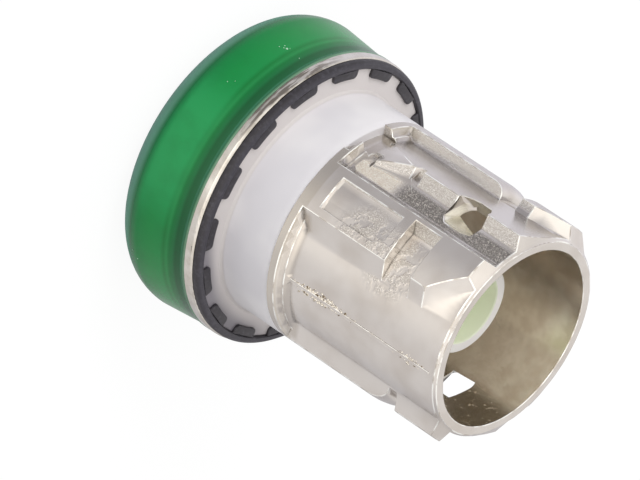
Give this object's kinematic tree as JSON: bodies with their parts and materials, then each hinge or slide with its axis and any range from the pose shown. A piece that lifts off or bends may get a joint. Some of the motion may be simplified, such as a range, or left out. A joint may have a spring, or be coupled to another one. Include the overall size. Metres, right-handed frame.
{
  "type": "panel pilot light head",
  "caption": "Round pilot light head for a panel hole, with a green lens, a metal trim ring, a toothed gasket and a die-cast collar with latch windows and a light tube.",
  "frame": {"origin": "centre of the neck in the plane where the gasket seats on the panel", "axes": "+Z along the neck axis from the lens towards the open end of the collar, +Y away from the land of the first latch window, +X to its right"},
  "size_m": [0.0294, 0.0294, 0.0357],
  "materials": {
    "green_lens": "gloss",
    "milky_plastic": "satin",
    "black_rubber": "matte",
    "bright_metal": "polished",
    "cast_metal": "satin"
  },
  "bodies": {
    "root": {"lens": "green_lens", "diffuser": "milky_plastic", "lens_seal": "black_rubber", "trim_ring": "bright_metal", "gasket": "black_rubber", "carrier": "milky_plastic", "collar": "cast_metal"}
  },
  "joints": []
}
